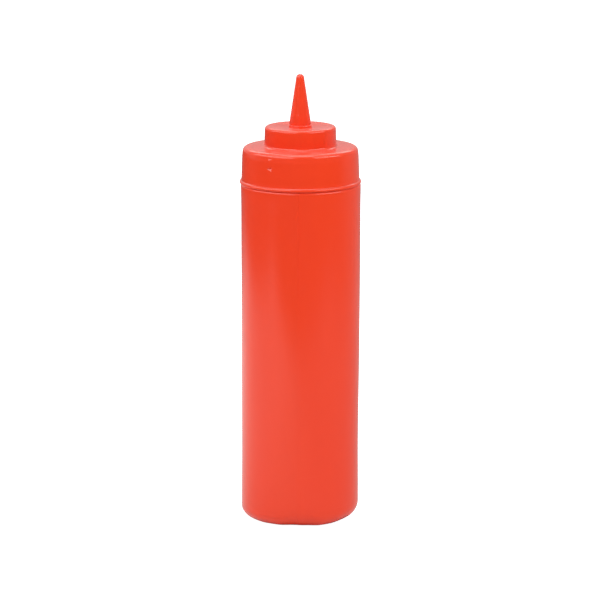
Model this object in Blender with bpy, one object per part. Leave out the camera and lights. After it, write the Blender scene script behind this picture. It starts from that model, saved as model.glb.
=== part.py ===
"""A squeeze bottle: a tall blow-moulded cylinder under a stepped screw cap with a conical nozzle.

Metres, +Z up. The bottle stands on the XY plane and both pieces are turned about the Z axis.
The pack is shut and opaque, so the bottle is solid. The cap sits over a plain neck.
"""

import math

import bmesh
import bpy
from mathutils import Matrix, Vector

MM = 0.001
FIT = 0.3 * MM  # clearance between pieces that touch
TURN_STEPS = 80  # facets round each turned piece
ARC_STEP = math.radians(19)  # most turn between two points of a rounded corner
SHARP_ANGLE = math.radians(30)  # edges that turn more than this stay crisp

# Bottle
BODY_RADIUS = 35.2 * MM
BODY_HEIGHT = 202.7 * MM  # floor to the shoulder that the cap sits on
TOP_FLARE = 0.3 * MM  # the wall stands this much prouder just under the cap
TOP_FLARE_HEIGHT = 14 * MM
WAIST_DIP = 0.2 * MM  # and this much in, a little above the foot
WAIST_HEIGHT = 45 * MM
FOOT_HEIGHT = 12 * MM
SHOULDER_ROUND = 1.4 * MM
FOOT_ROUND = 8.3 * MM
STANDING_RING_INNER = 22.5 * MM
PUSH_UP_RADIUS = 18.5 * MM
PUSH_UP_HEIGHT = 2.5 * MM
PUSH_UP_ROUND = 3 * MM
PINCH_LENGTH = 34 * MM  # weld left where the mould pinches the tube shut
PINCH_WIDTH = 1.4 * MM
PINCH_HEIGHT = 0.7 * MM
NECK_RADIUS = 31.5 * MM
NECK_HEIGHT = 19.1 * MM
NECK_ROUND = 1.2 * MM

# Cap, each height measured up from the one before it
FLANGE_RADIUS = 35.9 * MM
FLANGE_HEIGHT = 2.9 * MM
FLANGE_SLOPE = 1.4 * MM  # drop of its top side from the skirt to the edge
FLANGE_ROUND = 1.5 * MM
FLANGE_LIP_ROUND = 0.5 * MM
SKIRT_FOOT_RADIUS = 34.9 * MM
SKIRT_BREAK_RADIUS = 34.4 * MM
SKIRT_BREAK_DROP = 5.1 * MM  # the wall leans in more above this, down from its top
SKIRT_TOP_RADIUS = 33.75 * MM
SKIRT_HEIGHT = 18.7 * MM
SKIRT_ROUND = 2.5 * MM
SHOULDER_RISE = 0.4 * MM
FILLET_RADIUS = 1.4 * MM
DRUM_FOOT_RADIUS = 21.3 * MM
DRUM_TOP_RADIUS = 20.9 * MM
DRUM_HEIGHT = 11.9 * MM
DRUM_ROUND = 1.7 * MM
DISH_DEPTH = 1.6 * MM
COLLAR_RADIUS = 6.65 * MM
COLLAR_HEIGHT = 2.05 * MM
COLLAR_ROUND = 0.5 * MM
COLLAR_FLARE = 0.75 * MM  # height over which the collar runs out into the cone
CONE_FOOT_RADIUS = 6.4 * MM
TIP_RADIUS = 2.35 * MM
TOTAL_HEIGHT = 267.3 * MM
BORE_RADIUS = 0.7 * MM
BORE_DEPTH = 8 * MM

# Levels that follow from the sizes above
CAP_FOOT_Z = BODY_HEIGHT + FIT
FLANGE_TOP_Z = CAP_FOOT_Z + FLANGE_HEIGHT
SKIRT_TOP_Z = FLANGE_TOP_Z + SKIRT_HEIGHT
DRUM_FOOT_Z = SKIRT_TOP_Z + SHOULDER_RISE
DRUM_TOP_Z = DRUM_FOOT_Z + DRUM_HEIGHT
COLLAR_FOOT_Z = DRUM_TOP_Z - DISH_DEPTH
COLLAR_TOP_Z = COLLAR_FOOT_Z + COLLAR_HEIGHT
CONE_FOOT_Z = COLLAR_TOP_Z + COLLAR_FLARE
TIP_CENTRE_Z = TOTAL_HEIGHT - math.sqrt(TIP_RADIUS**2 - BORE_RADIUS**2)
NECK_TOP_Z = BODY_HEIGHT + NECK_HEIGHT

RED_PLASTIC = (0.84, 0.05, 0.018, 1.0)


def clear_scene():
    for obj in list(bpy.data.objects):
        bpy.data.objects.remove(obj, do_unlink=True)


def plastic(name, colour, roughness):
    """A glossy, unpainted plastic."""
    material = bpy.data.materials.new(name)
    material.use_nodes = True
    shader = material.node_tree.nodes["Principled BSDF"]
    shader.inputs["Base Color"].default_value = colour
    shader.inputs["Roughness"].default_value = roughness
    shader.inputs["Metallic"].default_value = 0.0
    return material


def corner_arc(before, corner, after, radius):
    """The points that round one corner of an outline by a tangent arc."""
    if radius == 0:
        return [corner]
    back = (before - corner).normalized()
    ahead = (after - corner).normalized()
    half_angle = back.angle(ahead) / 2
    middle = corner + (back + ahead).normalized() * (radius / math.sin(half_angle))
    spoke = corner + back * (radius / math.tan(half_angle)) - middle
    turn = math.copysign(math.pi - 2 * half_angle, ahead.cross(back))
    steps = max(2, math.ceil(abs(turn) / ARC_STEP))
    turns = (Matrix.Rotation(turn * step / steps, 2) for step in range(steps + 1))
    return [middle + rotation @ spoke for rotation in turns]


def rounded(corners):
    """An outline through (radius, height, rounding) corners, from its first point to its last."""
    places = [Vector(corner[:2]) for corner in corners]
    outline = [places[0]]
    for index in range(1, len(corners) - 1):
        outline += corner_arc(*places[index - 1 : index + 2], corners[index][2])
    return outline + [places[-1]]


def tip_dome():
    """The ball end of the nozzle, from the rim of its bore down to where it meets the cone."""
    lean = math.atan2(CONE_FOOT_RADIUS - TIP_RADIUS, TIP_CENTRE_Z - CONE_FOOT_Z)
    first = math.asin(BORE_RADIUS / TIP_RADIUS)
    last = math.pi / 2 - lean
    steps = math.ceil((last - first) / ARC_STEP)
    angles = [first + (last - first) * step / steps for step in range(steps + 1)]
    return [
        Vector((TIP_RADIUS * math.sin(angle), TIP_CENTRE_Z + TIP_RADIUS * math.cos(angle)))
        for angle in angles
    ]


def bottle_outline():
    """Neck, shoulder, wall, rounded foot, standing ring and the recess under the base."""
    return rounded(
        [
            (0, NECK_TOP_Z, 0),
            (NECK_RADIUS, NECK_TOP_Z, NECK_ROUND),
            (NECK_RADIUS, BODY_HEIGHT, 0),
            (BODY_RADIUS + TOP_FLARE, BODY_HEIGHT, SHOULDER_ROUND),
            (BODY_RADIUS + TOP_FLARE / 2, BODY_HEIGHT - TOP_FLARE_HEIGHT, 0),
            (BODY_RADIUS, BODY_HEIGHT / 2, 0),
            (BODY_RADIUS - WAIST_DIP, WAIST_HEIGHT, 0),
            (BODY_RADIUS, FOOT_HEIGHT, 0),
            (BODY_RADIUS, 0, FOOT_ROUND),
            (STANDING_RING_INNER, 0, 0),
            (PUSH_UP_RADIUS, PUSH_UP_HEIGHT, PUSH_UP_ROUND),
            (0, PUSH_UP_HEIGHT, 0),
        ]
    )


def cap_outline():
    """Bore, nozzle, upper drum, lower drum, flange and the socket over the neck."""
    bore = [Vector((0, TOTAL_HEIGHT - BORE_DEPTH)), Vector((BORE_RADIUS, TOTAL_HEIGHT - BORE_DEPTH))]
    steps = rounded(
        [
            (CONE_FOOT_RADIUS, CONE_FOOT_Z, 0),
            (COLLAR_RADIUS, COLLAR_TOP_Z, COLLAR_ROUND),
            (COLLAR_RADIUS, COLLAR_FOOT_Z, 0),
            (DRUM_TOP_RADIUS, DRUM_TOP_Z, DRUM_ROUND),
            (DRUM_FOOT_RADIUS, DRUM_FOOT_Z, FILLET_RADIUS),
            (SKIRT_TOP_RADIUS, SKIRT_TOP_Z, SKIRT_ROUND),
            (SKIRT_BREAK_RADIUS, SKIRT_TOP_Z - SKIRT_BREAK_DROP, 0),
            (SKIRT_FOOT_RADIUS, FLANGE_TOP_Z, 0),
            (FLANGE_RADIUS, FLANGE_TOP_Z - FLANGE_SLOPE, FLANGE_ROUND),
            (FLANGE_RADIUS, CAP_FOOT_Z, FLANGE_LIP_ROUND),
            (NECK_RADIUS + FIT, CAP_FOOT_Z, 0),
            (NECK_RADIUS + FIT, NECK_TOP_Z + FIT, 0),
            (0, NECK_TOP_Z + FIT, 0),
        ]
    )
    return bore + tip_dome() + steps


def placed(name, shape):
    """An object in the scene that holds the finished shape."""
    mesh = bpy.data.meshes.new(name)
    shape.to_mesh(mesh)
    shape.free()
    obj = bpy.data.objects.new(name, mesh)
    bpy.context.scene.collection.objects.link(obj)
    return obj


def turned(name, outline, material):
    """A solid of revolution about the Z axis, from an outline that starts and ends on the axis."""
    shape = bmesh.new()
    points = [shape.verts.new((place.x, 0, place.y)) for place in outline]
    lines = [shape.edges.new(pair) for pair in zip(points, points[1:])]
    bmesh.ops.spin(
        shape,
        geom=points + lines,
        axis=(0, 0, 1),
        angle=2 * math.pi,
        steps=TURN_STEPS,
        use_merge=True,
    )
    bmesh.ops.remove_doubles(shape, verts=shape.verts, dist=0.01 * MM)
    bmesh.ops.recalc_face_normals(shape, faces=shape.faces)
    obj = placed(name, shape)
    obj.data.shade_smooth()
    obj.data.set_sharp_from_angle(angle=SHARP_ANGLE)
    obj.data.materials.append(material)
    return obj


def pinch_weld():
    """A low bar across the recess, sunk into the base so that the join overlaps it."""
    shape = bmesh.new()
    size = Matrix.Diagonal((PINCH_WIDTH, PINCH_LENGTH, 2 * PINCH_HEIGHT, 1))
    bmesh.ops.create_cube(shape, size=1, matrix=size)
    bmesh.ops.translate(shape, verts=shape.verts, vec=(0, 0, PUSH_UP_HEIGHT))
    bar = placed("pinch_weld", shape)
    bar.hide_render = True
    bar.display_type = "WIRE"
    return bar


def bottle():
    obj = turned("bottle", bottle_outline(), plastic("bottle_plastic", RED_PLASTIC, 0.28))
    join = obj.modifiers.new("pinch", "BOOLEAN")
    join.operation = "UNION"
    join.object = pinch_weld()


def cap():
    turned("cap", cap_outline(), plastic("cap_plastic", RED_PLASTIC, 0.25))


clear_scene()
bottle()
cap()
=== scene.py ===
# %% [markdown]
# # A squeeze bottle in glossy red plastic
# The object is a tall blow-moulded bottle under a stepped screw cap with a conical nozzle. The
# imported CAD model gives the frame: a piece is drawn in the same metres, so it lands where its
# solid is. Two pieces carry the looks, and a third is the weld under the base.

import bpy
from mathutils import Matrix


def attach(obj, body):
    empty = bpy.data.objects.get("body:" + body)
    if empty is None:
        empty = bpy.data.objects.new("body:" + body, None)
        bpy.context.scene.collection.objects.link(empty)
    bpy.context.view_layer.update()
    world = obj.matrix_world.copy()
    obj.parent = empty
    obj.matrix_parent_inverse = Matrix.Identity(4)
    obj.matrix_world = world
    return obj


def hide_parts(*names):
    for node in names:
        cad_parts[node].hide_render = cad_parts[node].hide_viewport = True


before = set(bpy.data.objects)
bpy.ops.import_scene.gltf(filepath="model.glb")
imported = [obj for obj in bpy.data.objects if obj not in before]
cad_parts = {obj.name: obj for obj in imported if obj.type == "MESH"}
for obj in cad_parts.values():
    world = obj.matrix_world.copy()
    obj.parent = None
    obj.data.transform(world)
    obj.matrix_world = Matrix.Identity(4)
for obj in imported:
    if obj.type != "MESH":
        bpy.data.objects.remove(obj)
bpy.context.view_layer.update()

# %% [markdown]
# Blender works in metres, and a bottle is drawn in millimetres. Every size below is therefore
# a number times MM, so it can be read as millimetres.

# %% Working units
import math

import bmesh
import bpy
from mathutils import Matrix, Vector, noise

MM = 0.001
scene = bpy.context.scene

# %% [markdown]
# ## The camera
# The picture was taken from a little above, with a long lens, so the walls hardly converge. A long
# lens is a narrow angle: 168 mm on a 36 mm sensor is 12 degrees. The distance sets how much
# the upper rims open, and the tilt sets where the bottle sits in the frame.

# %% Place the camera
CAMERA_PLACE = (-0.24 * MM, -1630 * MM, 487.5 * MM)
LOOK_DOWN = 12.307
LENS = 168
SENSOR = 36

camera_data = bpy.data.cameras.new("photo_camera")
camera_data.lens = LENS
camera_data.sensor_width = SENSOR
camera = bpy.data.objects.new("photo_camera", camera_data)
camera.location = CAMERA_PLACE
camera.rotation_euler = (math.radians(90 - LOOK_DOWN), 0, 0)
scene.collection.objects.link(camera)
scene.camera = camera
print("camera angle", round(math.degrees(2 * math.atan(SENSOR / LENS / 2)), 2), "degrees")

# %% [markdown]
# ## Nodes with less typing
# A material is a network of nodes. One helper adds a node, sets its options and fills its
# sockets: a value is typed in, and a socket of another node is linked. The others build on it
# for a sum, a product, a smooth change from one level to another, and a noise.


# %% Node helpers
def add(tree, kind, options=(), **sockets):
    """A node with its options and sockets; _ stands for a space, and _0 is the first socket."""
    node = tree.nodes.new(kind)
    for option, value in dict(options).items():
        setattr(node, option, value)
    for name, value in sockets.items():
        number = name[1:]
        socket = node.inputs[int(number) if number.isdigit() else name.replace("_", " ")]
        if isinstance(value, bpy.types.NodeSocket):
            tree.links.new(value, socket)
        else:
            socket.default_value = value
    return node


def math_node(tree, operation, first, second=0.0, third=0.0, clamp=False):
    """The result socket of one sum."""
    options = {"operation": operation, "use_clamp": clamp}
    return add(tree, "ShaderNodeMath", options, _0=first, _1=second, _2=third).outputs[0]


def product(tree, result, *factors):
    """All the values multiplied together."""
    for factor in factors:
        result = math_node(tree, "MULTIPLY", result, factor)
    return result


def ramp(tree, value, low, high, to_low=0.0, to_high=1.0):
    """A smooth change from one level to another while value goes from low to high."""
    ends = {"_1": low, "_2": high, "_3": to_low, "_4": to_high}
    options = {"interpolation_type": "SMOOTHSTEP"}
    return add(tree, "ShaderNodeMapRange", options, _0=value, **ends).outputs[0]


def noise_node(tree, place, scale, detail):
    """The grey value of a noise at a place."""
    return add(tree, "ShaderNodeTexNoise", Vector=place, Scale=scale, Detail=detail).outputs[0]


WHITE = (1.0, 1.0, 1.0, 1.0)
NOISE_RANGE = (0.3, 0.7)
NOISE_MIDDLE = 0.5
print("a noise mostly lies between", *NOISE_RANGE)

# %% [markdown]
# ## The table
# The bottle stands on a white table in a dim room. A gloss wall seen from above mirrors the
# table in front of it, and past the table's edge it mirrors the dark floor, which is why the
# real wall is paler low down and on its left. Each edge below is the place where the table has
# ended and the place where it is whole, in metres. Where four numbers stand, the last two are
# the brightness at the first two places.

# %% The table in the gloss
FRONT_EDGE = (-0.56, -0.42)
BACK_EDGE = (0.88, 0.28)
LEFT_EDGE = (-0.78, -0.58)
RIGHT_EDGE = (0.85, 0.4)
TABLE_LEVELS = (-0.3, 0.15, 1.1, 0.5)
ROOM_LEVELS = (-0.6, 0.5, 0.02, 0.36)
DARK_LEFT = (-0.9, 0.0, 0.3, 1.0)
CONTACT_SHADE = (0.028, 0.036, 0.03, 1.0)


def reach_node(tree, place):
    """How far a place is from the bottle's axis."""
    return add(tree, "ShaderNodeVectorMath", {"operation": "LENGTH"}, _0=place).outputs["Value"]


def table_image(tree, place):
    """How bright the table and the floor past it look in the gloss, by their place."""
    across, depth, _ = add(tree, "ShaderNodeSeparateXYZ", _0=place).outputs
    edges = [ramp(tree, depth, *edge) for edge in (FRONT_EDGE, BACK_EDGE)]
    edges += [ramp(tree, across, *edge) for edge in (LEFT_EDGE, RIGHT_EDGE)]
    far = product(tree, ramp(tree, depth, *ROOM_LEVELS), ramp(tree, across, *DARK_LEFT))
    lift = math_node(tree, "SUBTRACT", ramp(tree, across, *TABLE_LEVELS), far)
    level = math_node(tree, "MULTIPLY_ADD", product(tree, *edges), lift, far)
    return product(tree, level, ramp(tree, reach_node(tree, place), *CONTACT_SHADE))


print("the table shows from", FRONT_EDGE[0], "to", BACK_EDGE[0], "m in depth")

# %% [markdown]
# The Light Path node tells the rays apart. The camera sees a plain white floor, the bottle is
# lit by that floor, and only the mirror image shows where the table ends. The floor lies a hair
# under the bottle, and it glows a little, so that it comes out as white as the picture's.

# %% Lay the floor
FLOOR_HALF = 6.0
FLOOR_DROP = 0.05 * MM
FLOOR_LEVELS = (0.79, 0.8)
FLOOR_ROUGHNESS = 0.8
FLOOR_GLOW = (0.92, 1.0)
GLOW_REACH = (0.2, 1.2)
GRAIN_SCALE = 220.0


def new_material(name):
    """An empty material: its node tree and its output."""
    material = bpy.data.materials.new(name)
    material.use_nodes = True
    tree = material.node_tree
    tree.nodes.clear()
    return material, tree, tree.nodes.new("ShaderNodeOutputMaterial")


def floor_material():
    """White with a fine grain for the camera, and the table's image for the gloss."""
    material, tree, output = new_material("white_table")
    place = add(tree, "ShaderNodeTexCoord").outputs["Object"]
    ray = add(tree, "ShaderNodeLightPath").outputs
    grain = noise_node(tree, place, GRAIN_SCALE, detail=3.0)
    level = ramp(tree, grain, *NOISE_RANGE, *FLOOR_LEVELS)
    colour = add(tree, "ShaderNodeCombineColor", _0=level, _1=level, _2=level).outputs[0]
    glow = ramp(tree, reach_node(tree, place), *GLOW_REACH, *FLOOR_GLOW)
    white = add(tree, "ShaderNodeBsdfPrincipled", Base_Color=colour, Roughness=FLOOR_ROUGHNESS)
    tree.links.new(product(tree, glow, ray["Is Camera Ray"]), white.inputs["Emission Strength"])
    white.inputs["Emission Color"].default_value = WHITE
    white.inputs["Specular IOR Level"].default_value = 0.0
    image = add(tree, "ShaderNodeEmission", Strength=table_image(tree, place))
    surfaces = {"_1": white.outputs[0], "_2": image.outputs[0]}
    both = add(tree, "ShaderNodeMixShader", _0=ray["Is Glossy Ray"], **surfaces)
    tree.links.new(both.outputs[0], output.inputs["Surface"])
    return material


def link_mesh(name, shape):
    """Finish a bmesh as an object of that name at the origin."""
    mesh = bpy.data.meshes.new(name)
    shape.to_mesh(mesh)
    shape.free()
    piece = bpy.data.objects.new(name, mesh)
    scene.collection.objects.link(piece)
    return piece


shape = bmesh.new()
bmesh.ops.create_grid(shape, x_segments=1, y_segments=1, size=FLOOR_HALF)
bmesh.ops.translate(shape, verts=shape.verts, vec=(0, 0, -FLOOR_DROP))
floor = link_mesh("floor", shape)
floor.data.materials.append(floor_material())
print("floor", 2 * FLOOR_HALF, "m wide")

# %% [markdown]
# ## The light
# The world fills the shadows evenly, but the gloss sees it as a room: dim in front, brighter
# behind and on the left, with white sails high up over the lamps. Each limit is a part of the
# direction's unit vector, from -1 to 1: across, in depth or upwards.

# %% Light the room
ROOM_BRIGHTNESS = 0.33
BACKDROP_WHITE = 1.0
WALL_IMAGE = (-0.5, 0.5, 0.15, 0.55)
LEFT_IMAGE = (-0.6, 0.3, 1.15, 0.85)
SAIL_FOOT = (0.45, 0.6)
SAIL_TOP = (0.99, 0.93)
SAIL_FRONT = (0.15, -0.1)
LEFT_SAIL = (-0.05, -0.25, 0.0, 2.0)
HIGH_SAIL = (0.72, 0.85, 0.0, 1.0)


def room_image(tree):
    """How bright the room looks in the gloss, by direction."""
    direction = add(tree, "ShaderNodeTexCoord").outputs["Generated"]
    across, depth, upward = add(tree, "ShaderNodeSeparateXYZ", _0=direction).outputs
    walls = product(tree, ramp(tree, depth, *WALL_IMAGE), ramp(tree, across, *LEFT_IMAGE))
    limits = [ramp(tree, upward, *SAIL_FOOT), ramp(tree, upward, *SAIL_TOP)]
    sail = product(tree, *limits, ramp(tree, depth, *SAIL_FRONT))
    sides = [ramp(tree, across, *LEFT_SAIL), ramp(tree, upward, *HIGH_SAIL)]
    return math_node(tree, "MULTIPLY_ADD", sail, math_node(tree, "MAXIMUM", *sides), walls)


world = bpy.data.worlds.new("dim_room")
world.use_nodes = True
tree = world.node_tree
rays = add(tree, "ShaderNodeLightPath").outputs
lift = math_node(tree, "SUBTRACT", room_image(tree), ROOM_BRIGHTNESS)
room = math_node(tree, "MULTIPLY_ADD", rays["Is Glossy Ray"], lift, ROOM_BRIGHTNESS)
white = product(tree, rays["Is Camera Ray"], BACKDROP_WHITE)
background = tree.nodes["Background"]
background.inputs["Color"].default_value = WHITE
tree.links.new(math_node(tree, "MAXIMUM", room, white), background.inputs["Strength"])
scene.world = world
scene.view_settings.view_transform = "Standard"
scene.view_settings.look = "None"
print("room brightness", ROOM_BRIGHTNESS)

# %% [markdown]
# Two big softboxes stand in front to the left and right, a third of the way up the sky, so that
# the walls are lit evenly and each rounded edge gets a bright line on either side. Others above
# and behind keep the top and the back as bright. Each has its angle round the bottle and its
# height in the sky in degrees, then its distance, width and height in metres, and its brightness.
# A lamp's power is that brightness times its area.

# %% Set up the lamps
AIM = Vector((0, 0, 0.13))
SOFTBOXES = {
    "left": (-61, 33, 1.3, 2.4, 0.45, 3.45),
    "right": (59, 33, 1.3, 1.2, 0.45, 4.95),
    "overhead": (0, 88, 1.4, 0.7, 0.95, 3.1),
    "back": (180, 42, 1.5, 1.8, 0.5, 2.6),
}


def softbox(name, turn, rise, distance, width, height, brightness):
    """An area light at an angle round from the camera, and up, that faces the bottle."""
    lamp = bpy.data.lights.new(name, "AREA")
    lamp.shape = "RECTANGLE"
    lamp.size = width
    lamp.size_y = height
    lamp.energy = brightness * math.pi * width * height
    round_axis = Matrix.Rotation(math.radians(turn), 3, "Z")
    upwards = Matrix.Rotation(math.radians(rise), 3, "X").inverted()
    holder = bpy.data.objects.new(name, lamp)
    holder.location = AIM + round_axis @ upwards @ Vector((0, -distance, 0))
    holder.rotation_euler = (AIM - holder.location).to_track_quat("-Z", "Y").to_euler()
    scene.collection.objects.link(holder)
    return holder


for side, settings in SOFTBOXES.items():
    holder = softbox(f"softbox_{side}", *settings)
    print(side, [round(value, 2) for value in holder.location])

# %% [markdown]
# ## Turned shapes
# Both mouldings are round, so each is drawn as half an outline and spun about the upright axis.
# The outline is a wire through the corners of the profile. A bevel on a wire's vertex puts a true
# fillet there, which is quicker and cleaner than placing the points of each arc.


# %% Draw an outline
def round_corner(shape, point, rounding, segments):
    """Put a fillet of that radius on one vertex of a wire."""
    arms = [edge.other_vert(point).co - point.co for edge in point.link_edges]
    reach = rounding / math.tan(arms[0].angle(arms[1]) / 2)
    bmesh.ops.bevel(
        shape,
        geom=[point],
        offset=reach,
        offset_type="OFFSET",
        segments=segments,
        profile=0.5,
        affect="VERTICES",
        material=-1,
    )


def draw_outline(shape, corners, start=None):
    """A wire on from start, through (radius, height, rounding, segments) corners, with fillets."""
    points = [shape.verts.new((radius, 0, height)) for radius, height, _, _ in corners]
    chain = [start, *points] if start else points
    for pair in zip(chain, chain[1:]):
        shape.edges.new(pair)
    for point, (_, _, rounding, segments) in zip(points, corners):
        if rounding:
            round_corner(shape, point, rounding, segments)
    return points[-1]


def cut_long_edges(shape, spacing):
    """Rings along the straight stretches, so that they can carry a soft wave."""
    for edge in list(shape.edges):
        cuts = int(edge.calc_length() / spacing)
        if cuts:
            bmesh.ops.subdivide_edges(shape, edges=[edge], cuts=cuts)


WALL_SPACING = 2.4 * MM
print("at most", WALL_SPACING / MM, "mm from ring to ring")

# %% [markdown]
# A full spin in equal steps is enough for the cap. The bottle has a fine line down its front and
# back where the mould halves met, and that needs narrow columns there, so its wire is spun in
# four goes: narrow steps over each line and wider ones between. The ends meet, the doubles are
# merged and the normals are made to point outwards.

# %% Spin an outline
MERGE_DISTANCE = 0.004 * MM
SHARP_TURN = math.radians(40)


def spin_on(shape, geometry, angle, steps):
    """Sweep the wire on by an angle, and return its copy at the far end."""
    result = bmesh.ops.spin(
        shape,
        geom=geometry,
        cent=(0, 0, 0),
        axis=(0, 0, 1),
        angle=angle,
        steps=steps,
        use_merge=False,
    )
    return result["geom_last"]


def close_up(shape):
    """Merge the doubles, turn the normals outwards, and tell whether the skin is closed."""
    bmesh.ops.remove_doubles(shape, verts=shape.verts, dist=MERGE_DISTANCE)
    bmesh.ops.recalc_face_normals(shape, faces=shape.faces)
    return all(edge.is_manifold for edge in shape.edges)


def finish_piece(name, shape):
    """The bmesh as a smooth piece with crisp sharp edges, and a line about its size."""
    piece = link_mesh(name, shape)
    piece.data.shade_smooth()
    piece.data.set_sharp_from_angle(angle=SHARP_TURN)
    size = [round(side / MM, 1) for side in piece.dimensions]
    print(name, len(piece.data.vertices), "vertices,", size, "mm")
    return piece


print("edges sharper than", round(math.degrees(SHARP_TURN)), "degrees stay crisp")

# %% [markdown]
# ## The bottle
# Blow moulding presses a soft tube against a cold mould, so the wall is a plain cylinder with a
# soft shoulder and a generous foot. Its profile goes from the neck that the cap hides, over the
# shoulder and down the wall, round the foot and into the recess.

# %% Turn the bottle
BODY_RADIUS = 35.2 * MM
BODY_HEIGHT = 202.95 * MM
SHOULDER_ROUND = 1.6 * MM
FOOT_ROUND = 8.3 * MM
RING_INNER = 22.5 * MM
RING_ROUND = 0.6 * MM
RECESS_RADIUS = 18.5 * MM
RECESS_HEIGHT = 2.5 * MM
RECESS_ROUND = 3 * MM
NECK_RADIUS = 31.5 * MM
NECK_TOP = 221.8 * MM
NECK_ROUND = 1.2 * MM
SEAM_HALF = 1.5 * MM
SEAM_STEPS = 16
WALL_STEPS = 104
SEAM_TURN = math.radians(-92.5)

shape = bmesh.new()
draw_outline(
    shape,
    [
        (0, NECK_TOP, 0, 0),
        (NECK_RADIUS, NECK_TOP, NECK_ROUND, 4),
        (NECK_RADIUS, BODY_HEIGHT, 0, 0),
        (BODY_RADIUS, BODY_HEIGHT, SHOULDER_ROUND, 10),
        (BODY_RADIUS, 0, FOOT_ROUND, 18),
        (RING_INNER, 0, RING_ROUND, 3),
        (RECESS_RADIUS, RECESS_HEIGHT, RECESS_ROUND, 5),
        (0, RECESS_HEIGHT, 0, 0),
    ],
)
cut_long_edges(shape, WALL_SPACING)
seam_angle = 2 * math.asin(SEAM_HALF / BODY_RADIUS)
start = Matrix.Rotation(SEAM_TURN - seam_angle / 2, 3, "Z")
bmesh.ops.rotate(shape, verts=shape.verts, cent=(0, 0, 0), matrix=start)
wire = shape.verts[:] + shape.edges[:]
for _ in range(2):
    wire = spin_on(shape, wire, seam_angle, SEAM_STEPS)
    wire = spin_on(shape, wire, math.pi - seam_angle, WALL_STEPS)
closed = close_up(shape)
print("bottle columns", 2 * (SEAM_STEPS + WALL_STEPS), "closed", closed)

# %% [markdown]
# ## What the mould leaves
# A turned shape is too perfect. The wall stands a hair prouder under the cap and is a hair
# slimmer near the foot, it ripples faintly where it cooled, and the halves of the mould leave a
# fine line. Each of these is a small move of the vertices by their height and their angle round
# the axis. The tables hold heights and moves in millimetres.

# %% Small moves of the wall
WALL_LINE = ((0, 0), (12, 0), (45, -0.2), (101, 0), (188, 0.15), (202.3, 0.3))
RIPPLE_SIZE = 30 * MM
RIPPLE_DEPTH = 0.05 * MM
SEAM_WIDTH = 0.35 * MM
SEAM_DEEP = 0.12 * MM
SEAM_FAINT = 0.03 * MM
SEAM_FADE = (130 * MM, 200 * MM)
ACROSS_SEAM = Vector((-math.sin(SEAM_TURN), math.cos(SEAM_TURN), 0))


def ease(low, high, value):
    """0 below low, 1 above high, and a soft S between."""
    share = min(1.0, max(0.0, (value - low) / (high - low)))
    return share * share * (3 - 2 * share)


def along(table, place):
    """The value at a place in a table of (place, value), eased from row to row."""
    for (low, before), (high, after) in zip(table, table[1:]):
        if place <= high:
            return before + (after - before) * ease(low, high, place)
    return table[-1][1]


def seam_depth(across, height):
    """How deep the moulding line is, at a distance across it."""
    deep = SEAM_FAINT + (SEAM_DEEP - SEAM_FAINT) * ease(*SEAM_FADE, height)
    return deep * math.exp(-((across / SEAM_WIDTH) ** 2))


def wall_move(point):
    """How far the wall stands out at a point: its line, its ripple and the moulding line."""
    ripple = noise.noise(Vector((point.x, point.y, point.z / 2)) / RIPPLE_SIZE)
    line = along(WALL_LINE, point.z / MM) * MM
    return line + ripple * RIPPLE_DEPTH - seam_depth(point.dot(ACROSS_SEAM), point.z)


for vertex in shape.verts:
    radius = vertex.co.xy.length
    if radius > NECK_RADIUS + MM and vertex.co.z > 0:
        move = wall_move(vertex.co) * ease(NECK_RADIUS + MM, BODY_RADIUS - MM, radius)
        vertex.co.xy *= 1 + move / radius
print("widest", round(max(vertex.co.xy.length for vertex in shape.verts) / MM, 2), "mm")

# %% [markdown]
# The foot is rounder on one side than on the other. The table gives its rounding in millimetres
# at angles round the axis, where -90 faces the camera. The rounding is stretched to that size,
# and the stretch fades out up the wall.

# %% Round the foot unevenly
FOOT_ROUNDS = (
    (-180, 5.4),
    (-165, 6.4),
    (-140, 7.3),
    (-118, 8.7),
    (-98, 11.4),
    (-93.1, 11.4),
    (-91.9, 11.0),
    (-83, 10.6),
    (-66, 8.2),
    (-55, 8.1),
    (-35, 9.1),
    (-10, 8.7),
    (60, 8.1),
    (90, 11.0),
    (120, 8.1),
    (165, 6.0),
    (180, 5.4),
)
FOOT_FADE = 30 * MM


def foot_scale(point):
    """How much further than drawn the foot's rounding reaches, at this angle and height."""
    turn = math.degrees(math.atan2(point.y, point.x))
    scale = along(FOOT_ROUNDS, turn) * MM / FOOT_ROUND
    return 1 + (scale - 1) * (1 - ease(FOOT_ROUND, FOOT_FADE, point.z))


for vertex in shape.verts:
    radius = vertex.co.xy.length
    if radius > RING_INNER + MM and vertex.co.z < FOOT_FADE:
        scale = foot_scale(vertex.co)
        vertex.co.xy *= (BODY_RADIUS + (radius - BODY_RADIUS) * scale) / radius
        vertex.co.z *= scale
roundings = [rounding for _, rounding in FOOT_ROUNDS]
print("foot rounding from", min(roundings), "to", max(roundings), "mm")

# %% [markdown]
# The body also leans a hair to the right on its way up. That is a move sideways by height, from
# one more table in millimetres, and the bottle is then finished as a piece.

# %% Lean the bottle
LEAN = ((0, -0.3), (40, -0.25), (150, 0.25), (202.3, 0.25))

for vertex in shape.verts:
    if vertex.co.z <= BODY_HEIGHT:
        vertex.co.x += along(LEAN, vertex.co.z / MM) * MM
bottle = finish_piece("bottle_body", shape)

# %% [markdown]
# ## The weld under the base
# The mould pinches the soft tube shut under the base and leaves a low weld across the recess.
# It is a small bar with every edge bevelled, sunk into the recess so that no gap shows. It
# wanders a little from side to side, as a squeezed edge does.

# %% Lay the weld
WELD_LENGTH = 34 * MM
WELD_WIDTH = 1.4 * MM
WELD_DEPTH = 0.7 * MM
WELD_ROUND = 0.35 * MM
WELD_CUTS = 60
WANDER_SIZE = 4 * MM
WANDER_ASIDE = 0.12 * MM
WANDER_DEPTH = 0.25

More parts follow.
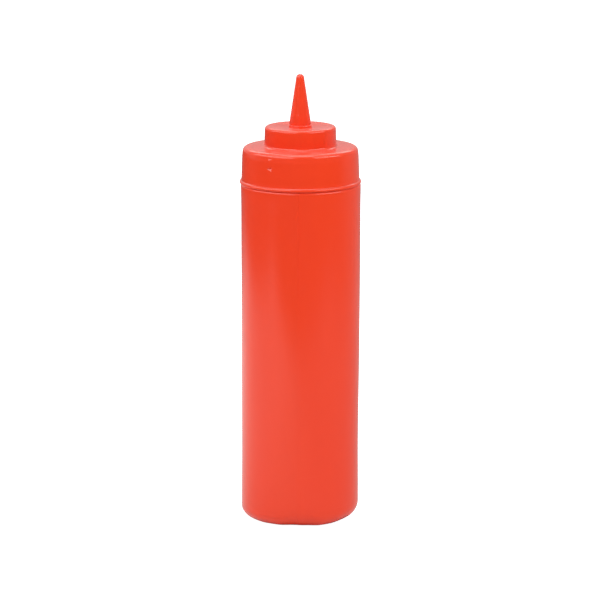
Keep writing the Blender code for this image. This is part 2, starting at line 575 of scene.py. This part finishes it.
shape = bmesh.new()
bmesh.ops.create_cube(shape, size=1)
bmesh.ops.scale(shape, verts=shape.verts, vec=(WELD_WIDTH, WELD_LENGTH, 2 * WELD_DEPTH))
bmesh.ops.bevel(
    shape,
    geom=shape.edges[:],
    offset=WELD_ROUND,
    segments=3,
    profile=0.5,
    affect="EDGES",
    material=-1,
)
lengthwise = [edge for edge in shape.edges if edge.calc_length() > WELD_LENGTH / 2]
bmesh.ops.subdivide_edges(shape, edges=lengthwise, cuts=WELD_CUTS)
for vertex in shape.verts:
    wander = noise.noise(Vector((0, vertex.co.y / WANDER_SIZE, 0)))
    vertex.co.x += WANDER_ASIDE * wander
    vertex.co.z *= 1 + WANDER_DEPTH * wander
bmesh.ops.translate(shape, verts=shape.verts, vec=(0, 0, RECESS_HEIGHT))
weld = finish_piece("base_weld", shape)

# %% [markdown]
# ## The cap
# The cap is one injection moulding: a rim bead, a lower drum with a slight draft, a smaller
# drum, a dished top and the nozzle on its collar. The nozzle comes first. It is a cone under a
# ball end with a bore in it, and two faint rings mark where it may be cut for a wider opening.

# %% Shape the nozzle
CONE_FOOT = 238.1 * MM
CONE_FOOT_RADIUS = 6.4 * MM
TOTAL_HEIGHT = 267.3 * MM
TIP_RADIUS = 2.35 * MM
TIP_STEPS = 10
BORE_RADIUS = 0.7 * MM
BORE_DEPTH = 8 * MM
BORE_ROUND = 0.12 * MM
TIP_CENTRE = TOTAL_HEIGHT - math.sqrt(TIP_RADIUS**2 - BORE_RADIUS**2)
RING_MARKS = (260.3 * MM, 243.7 * MM)
RING_HALF = 0.35 * MM
RING_STEP = 0.04 * MM
RING_TOP_ROUND = 0.4 * MM
RING_FOOT_ROUND = 0.3 * MM


def cone_radius(height):
    """The nozzle's radius at a height, on the straight line from its foot to its tip."""
    share = (height - CONE_FOOT) / (TOTAL_HEIGHT - TIP_RADIUS - CONE_FOOT)
    return CONE_FOOT_RADIUS + (TIP_RADIUS - CONE_FOOT_RADIUS) * share


def ring_mark(height):
    """The corners of a faint ring round the cone."""
    foot, top = height - RING_HALF, height + RING_HALF
    return [
        (cone_radius(top), top, RING_TOP_ROUND, 2),
        (cone_radius(foot) + RING_STEP, foot, RING_FOOT_ROUND, 3),
    ]


def ball_end(shape, rim):
    """Sweep the rim of the bore over the ball that ends the nozzle, down to the cone."""
    lean = math.atan2(CONE_FOOT_RADIUS - TIP_RADIUS, TIP_CENTRE - CONE_FOOT)
    sweep = math.pi / 2 - lean - math.asin(BORE_RADIUS / TIP_RADIUS)
    result = bmesh.ops.spin(
        shape,
        geom=[rim],
        cent=(0, 0, TIP_CENTRE),
        axis=(0, 1, 0),
        angle=sweep,
        steps=TIP_STEPS,
        use_merge=False,
    )
    return next(part for part in result["geom_last"] if isinstance(part, bmesh.types.BMVert))


shape = bmesh.new()
bore = [(0, TOTAL_HEIGHT - BORE_DEPTH, 0, 0), (BORE_RADIUS, TOTAL_HEIGHT - BORE_DEPTH, 0, 0)]
rim = draw_outline(shape, [*bore, (BORE_RADIUS, TOTAL_HEIGHT, 0, 0)])
shoulder = ball_end(shape, rim)
round_corner(shape, rim, BORE_ROUND, 3)
print("points from the bore to the cone", len(shape.verts))

# %% [markdown]
# The outline goes on from the ball end, down the cone and over each step to the rim bead, and up
# into the socket over the neck. The fillets catch the softboxes as the bright lines that make
# the steps readable, so they get more segments than the flat stretches.

# %% Turn the cap
FIT = 0.3 * MM
CAP_FOOT = 203.1 * MM
FLANGE_RADIUS = 35.9 * MM
FLANGE_EDGE = 204.6 * MM
FLANGE_TOP = 205.05 * MM
FLANGE_ROUND = 1.1 * MM
FLANGE_LIP_ROUND = 0.45 * MM
FLANGE_INNER_ROUND = 0.06 * MM
SKIRT_FOOT_RADIUS = 34.9 * MM
SKIRT_BREAK_RADIUS = 34.4 * MM
SKIRT_BREAK = 219.5 * MM
SKIRT_BREAK_ROUND = 15.0 * MM
SKIRT_TOP_RADIUS = 33.75 * MM
SKIRT_TOP = 224.6 * MM
SKIRT_ROUND = 2.5 * MM
DRUM_FOOT_RADIUS = 21.3 * MM
DRUM_FOOT = 225.0 * MM
DRUM_FILLET = 1.4 * MM
DRUM_TOP_RADIUS = 20.9 * MM
DRUM_TOP = 236.9 * MM
DRUM_ROUND = 1.7 * MM
DISH_FLOOR = 235.3 * MM
DISH_FILLET = 0.8 * MM
COLLAR_RADIUS = 6.65 * MM
COLLAR_TOP = 237.35 * MM
COLLAR_ROUND = 0.5 * MM
GROOVE_RADIUS = 6.25 * MM
COLLAR_GROOVE = 237.6 * MM
GROOVE_ROUND = 0.08 * MM
CONE_FOOT_ROUND = 0.3 * MM
CAP_STEPS = 240

draw_outline(
    shape,
    [
        *ring_mark(RING_MARKS[0]),
        *ring_mark(RING_MARKS[1]),
        (CONE_FOOT_RADIUS, CONE_FOOT, CONE_FOOT_ROUND, 3),
        (GROOVE_RADIUS, COLLAR_GROOVE, GROOVE_ROUND, 3),
        (COLLAR_RADIUS, COLLAR_TOP, COLLAR_ROUND, 8),
        (COLLAR_RADIUS, DISH_FLOOR, DISH_FILLET, 6),
        (DRUM_TOP_RADIUS, DRUM_TOP, DRUM_ROUND, 12),
        (DRUM_FOOT_RADIUS, DRUM_FOOT, DRUM_FILLET, 10),
        (SKIRT_TOP_RADIUS, SKIRT_TOP, SKIRT_ROUND, 14),
        (SKIRT_BREAK_RADIUS, SKIRT_BREAK, SKIRT_BREAK_ROUND, 6),
        (SKIRT_FOOT_RADIUS, FLANGE_TOP, FLANGE_INNER_ROUND, 3),
        (FLANGE_RADIUS, FLANGE_EDGE, FLANGE_ROUND, 12),
        (FLANGE_RADIUS, CAP_FOOT, FLANGE_LIP_ROUND, 6),
        (NECK_RADIUS + FIT, CAP_FOOT, 0, 0),
        (NECK_RADIUS + FIT, NECK_TOP + FIT, 0, 0),
        (0, NECK_TOP + FIT, 0, 0),
    ],
    shoulder,
)
cut_long_edges(shape, WALL_SPACING)
spin_on(shape, shape.verts[:] + shape.edges[:], 2 * math.pi, CAP_STEPS)
closed = close_up(shape)
print("cap columns", CAP_STEPS, "closed", closed)

# %% [markdown]
# The nozzle stands a hair left of the axis, so everything within the collar's reach is moved
# over, from nothing at the dish to the whole way at the foot of the cone.

# %% Shift the nozzle
NOZZLE_REACH = 7.5 * MM
NOZZLE_SHIFT = 0.15 * MM

for vertex in shape.verts:
    if vertex.co.xy.length < NOZZLE_REACH:
        vertex.co.x -= NOZZLE_SHIFT * ease(DISH_FLOOR, CONE_FOOT, vertex.co.z)
print("nozzle moved", NOZZLE_SHIFT / MM, "mm to the left")

# %% [markdown]
# The lower drum carries two small nicks on its left front. A nick is a flat facet that leans
# back a little, inside a triangle. The mesh is made finer once, round both of them, and the
# vertices inside each are then pushed in by how far up the facet they are, so that it catches
# the light from above. A nick has its angle round the axis, its height in millimetres, its
# slope, and its corners in millimetres across and upwards.

# %% Nick the cap
NICKS = {
    "large": (-120.8, 215.7, 0.27, ((-2.1, 0.0), (1.4, -1.4), (1.4, 1.4))),
    "small": (-120.6, 221.5, 0.3, ((-2.0, 0.4), (-1.2, -0.6), (2.0, 0.3))),
}
NICK_REACH = 2.6 * MM
NICK_CUTS = 7
NICK_EDGE = 0.3


def nick_place(turn, height):
    """The way out of the wall at a nick, and the nick's middle."""
    out = Vector((math.cos(math.radians(turn)), math.sin(math.radians(turn)), 0))
    return out, out * SKIRT_FOOT_RADIUS + Vector((0, 0, height * MM))


def around(shape, centre):
    """The vertices close enough to a nick's middle for their edges to be made finer."""
    reach = NICK_REACH + WALL_SPACING
    return {vertex for vertex in shape.verts if (vertex.co - centre).length < reach}


def depth_inside(sides, across, upward):
    """How far a point is inside a triangle that is listed anticlockwise."""
    nearest = math.inf
    for (ax, ay), (bx, by) in zip(sides, sides[1:] + sides[:1]):
        length = math.hypot(bx - ax, by - ay)
        nearest = min(nearest, ((bx - ax) * (upward - ay) - (by - ay) * (across - ax)) / length)
    return nearest


def nick(shape, turn, height, slope, sides):
    """Push one nick into the wall, and count the vertices that moved."""
    out, centre = nick_place(turn, height)
    side = Vector((-out.y, out.x, 0))
    lowest = min(corner[1] for corner in sides)
    moved = 0
    for vertex in shape.verts:
        offset = vertex.co - centre
        if offset.length < NICK_REACH:
            upward = offset.z / MM
            inside = ease(0, NICK_EDGE, depth_inside(sides, offset.dot(side) / MM, upward))
            vertex.co -= out * slope * (upward - lowest) * inside * MM
            moved += inside > 0
    return moved


regions = [around(shape, nick_place(turn, height)[1]) for turn, height, _, _ in NICKS.values()]
near = [edge for edge in shape.edges if any(region.issuperset(edge.verts) for region in regions)]
bmesh.ops.subdivide_edges(shape, edges=near, cuts=NICK_CUTS, use_grid_fill=True)
for size, settings in NICKS.items():
    print(size, "nick:", nick(shape, *settings), "vertices pushed in")
cap = finish_piece("nozzle_cap", shape)

# %% [markdown]
# ## The skin of moulded plastic
# Both pieces are the same glossy plastic from two kinds of mould. The effects that they share are
# node groups, each with its own sizes. The first two are a faint orange peel in the gloss and a
# slow drift in the pigment, drawn out upwards.

# %% Peel and drift
NUMBER = "NodeSocketFloat"
VECTOR = "NodeSocketVector"


def new_group(name, output, **inputs):
    """An empty group with a place, some numbers and one result: its tree, inputs and output."""
    tree = bpy.data.node_groups.new(name, "ShaderNodeTree")
    tree.interface.new_socket("Place", in_out="INPUT", socket_type=VECTOR)
    for input_name, value in inputs.items():
        label = input_name.replace("_", " ")
        socket = tree.interface.new_socket(label, in_out="INPUT", socket_type=NUMBER)
        socket.default_value = value
    tree.interface.new_socket(output, in_out="OUTPUT", socket_type=NUMBER)
    given = tree.nodes.new("NodeGroupInput").outputs
    return tree, given, tree.nodes.new("NodeGroupOutput").inputs[output]


def peel_group():
    """A soft unevenness at two sizes, like the skin of an orange seen from far off."""
    sizes = {"Coarse": 90.0, "Fine": 900.0, "Fine_Share": 0.2}
    tree, given, result = new_group("moulded_peel", "Height", **sizes)
    coarse = noise_node(tree, given["Place"], given["Coarse"], detail=2.0)
    fine = noise_node(tree, given["Place"], given["Fine"], detail=2.0)
    fine = product(tree, fine, given["Fine Share"])
    tree.links.new(math_node(tree, "ADD", coarse, fine), result)
    return tree


def drift_group():
    """Broad clouds drawn out upwards, the way the pigment flowed."""
    tree, given, result = new_group("pigment_drift", "Mask", Size=30.0, Stretch=0.3)
    stretch = add(tree, "ShaderNodeCombineXYZ", _0=1.0, _1=1.0, _2=given["Stretch"]).outputs[0]
    multiply = {"operation": "MULTIPLY"}
    drawn = add(tree, "ShaderNodeVectorMath", multiply, _0=given["Place"], _1=stretch)
    clouds = noise_node(tree, drawn.outputs[0], given["Size"], detail=3.0)
    tree.links.new(ramp(tree, clouds, *NOISE_RANGE), result)
    return tree


GROUPS = {"peel": peel_group(), "drift": drift_group()}
print("node groups", *GROUPS)

# %% [markdown]
# The other two are rubs from use, and dust. A rub is a thin line where a stretched noise passes
# its middle, and a second noise breaks the lines up. Dust is specks on what faces up, under an
# even film there that is a painted sheen: it lightens the tops as light from above does.

# %% Rubs, dust and painted sheen
RUB_RUNS = ((1.0, 0.05, 0.25), (0.08, 1.0, -0.35))
RUB_WIDTH = 0.006
BREAK_SCALE = 45.0
BREAK_RANGE = (0.5, 0.66)
SPECK_RANGE = (0.62, 0.72)
FACING_UP = (0.5, 0.95)


def rub_line(tree, given, across, upward, lean):
    """Thin lines that run one way, by how the place is squeezed and turned."""
    turned = {"Rotation": (lean, lean / 2, 0.0), "Scale": (across, across, upward)}
    place = add(tree, "ShaderNodeMapping", Vector=given["Place"], **turned).outputs[0]
    hair = noise_node(tree, place, given["Spacing"], detail=1.0)
    middle = math_node(tree, "ABSOLUTE", math_node(tree, "SUBTRACT", hair, NOISE_MIDDLE))
    return ramp(tree, middle, 0.0, RUB_WIDTH, 1.0, 0.0)


def rub_group():
    """Thin scratches that run both ways and break up."""
    tree, given, result = new_group("handling_rubs", "Mask", Spacing=60.0, Amount=0.5)
    both = math_node(tree, "MAXIMUM", *(rub_line(tree, given, *run) for run in RUB_RUNS))
    breaks = noise_node(tree, given["Place"], BREAK_SCALE, detail=4.0)
    broken = product(tree, both, ramp(tree, breaks, *BREAK_RANGE))
    rubs = math_node(tree, "MULTIPLY", broken, given["Amount"], clamp=True)
    tree.links.new(rubs, result)
    return tree


def dust_and_sheen_group():
    """Specks of dust, and an even film that is a painted sheen, on what faces up."""
    amounts = {"Spacing": 900.0, "Amount": 0.5, "Film": 0.15}
    tree, given, result = new_group("settled_dust_and_sheen", "Mask", **amounts)
    specks = noise_node(tree, given["Place"], given["Spacing"], detail=2.0)
    facing = add(tree, "ShaderNodeNewGeometry").outputs["Normal"]
    height = add(tree, "ShaderNodeSeparateXYZ", _0=facing).outputs["Z"]
    specked = product(tree, ramp(tree, specks, *SPECK_RANGE), given["Amount"])
    # Painted sheen: the even Film is added to the specks, so every face that points up is
    # lightened as light from above would lighten it.
    specks_and_sheen = math_node(tree, "ADD", specked, given["Film"])
    upward = ramp(tree, height, *FACING_UP)
    tree.links.new(math_node(tree, "MULTIPLY", specks_and_sheen, upward, clamp=True), result)
    return tree


GROUPS |= {"rubs": rub_group(), "dust_and_sheen": dust_and_sheen_group()}
print("node groups", *GROUPS)

# %% [markdown]
# ## The red plastic
# A pigmented plastic is a coloured body under a clear, hard gloss: a base colour, no metal, the
# usual index of refraction, and a low roughness. The bottle's skin is a little less glossy than
# the cap's, because a blow mould is sandblasted to let the air out, and a cap mould is polished.
# Rubs and dust are paler and duller than the plastic, and a rub is also a little sunk. The pale
# film on faces that point up is a painted sheen.

# %% Mix the plastic
RED = (0.855, 0.0515, 0.013, 1.0)
DEEP_RED = (0.845, 0.0485, 0.0125, 1.0)
PALE_RUB = (0.86, 0.12, 0.08, 1.0)
# Pale grey-pink for the dust specks, and for the painted sheen on faces that point up.
DUST_AND_SHEEN_GREY = (0.72, 0.62, 0.58, 1.0)
RUB_TINT = 0.35
DUST_AND_SHEEN_TINT = 0.5
RUB_DULLS = 0.18
DUST_AND_SHEEN_DULLS = 0.25
RUB_SINKS = 0.3
GLOSS_DRIFT = 0.015
PLASTIC_IOR = 1.5


def group_node(tree, name, **sockets):
    """The result socket of one of the shared groups."""
    return add(tree, "ShaderNodeGroup", {"node_tree": GROUPS[name]}, **sockets).outputs[0]


def mix_colours(tree, share, first, second):
    """The first colour, with a share of the second."""
    node = add(tree, "ShaderNodeMix", {"data_type": "RGBA"}, _0=share, _6=first, _7=second)
    return node.outputs[2]


def plastic(name, roughness, coarse, peel_depth, rubs, dust_and_sheen):
    """The red plastic with its own gloss, peel, rubs, dust specks and painted sheen."""
    material, tree, output = new_material(name)
    place = add(tree, "ShaderNodeTexCoord").outputs["Object"]
    drift = group_node(tree, "drift", Place=place)
    rubbed = group_node(tree, "rubs", Place=place, Amount=rubs)
    dust_and_sheen_mask = group_node(tree, "dust_and_sheen", Place=place, Amount=dust_and_sheen)
    colour = mix_colours(tree, drift, RED, DEEP_RED)
    colour = mix_colours(tree, product(tree, rubbed, RUB_TINT), colour, PALE_RUB)
    # Dust specks and a painted sheen: the even film mixes pale into every face that points up.
    colour = mix_colours(tree, product(tree, dust_and_sheen_mask, DUST_AND_SHEEN_TINT), colour, DUST_AND_SHEEN_GREY)
    gloss = ramp(tree, drift, 0.0, 1.0, roughness - GLOSS_DRIFT, roughness + GLOSS_DRIFT)
    gloss = math_node(tree, "ADD", gloss, product(tree, rubbed, RUB_DULLS))
    gloss = math_node(tree, "ADD", gloss, product(tree, dust_and_sheen_mask, DUST_AND_SHEEN_DULLS), clamp=True)
    peel = group_node(tree, "peel", Place=place, Coarse=coarse)
    height = math_node(tree, "SUBTRACT", peel, product(tree, rubbed, RUB_SINKS))
    normal = add(tree, "ShaderNodeBump", Height=height, Distance=peel_depth).outputs[0]
    inputs = {"Base_Color": colour, "Roughness": gloss, "Normal": normal}
    shader = add(tree, "ShaderNodeBsdfPrincipled", **inputs)
    shader.inputs["IOR"].default_value = PLASTIC_IOR
    tree.links.new(shader.outputs[0], output.inputs["Surface"])
    return material


bottle_plastic = plastic(
    "bottle_plastic_finish",
    roughness=0.17,
    coarse=110.0,
    peel_depth=0.03 * MM,
    rubs=0.08,
    dust_and_sheen=0.0,
)
cap_plastic = plastic(
    "cap_plastic_finish",
    roughness=0.16,
    coarse=160.0,
    peel_depth=0.015 * MM,
    rubs=0.06,
    dust_and_sheen=0.12,
)
print("finishes", bottle_plastic.name, cap_plastic.name)

# %% [markdown]
# ## Hand the pieces over
# Each piece rides on the one body, stands for its CAD solid and gets its finish; the slot name
# beside it is only listed. The weld belongs to the bottle's solid too, so it rides along with it.

# %% Dress the frame
for piece, material, slot in (
    (bottle, bottle_plastic, "bottle_plastic"),
    (weld, bottle_plastic, "bottle_plastic"),
    (cap, cap_plastic, "cap_plastic"),
):
    piece.data.materials.append(material)
    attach(piece, "root")
    print(piece.name, "takes the slot", slot)
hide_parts("bottle")
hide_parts("cap")
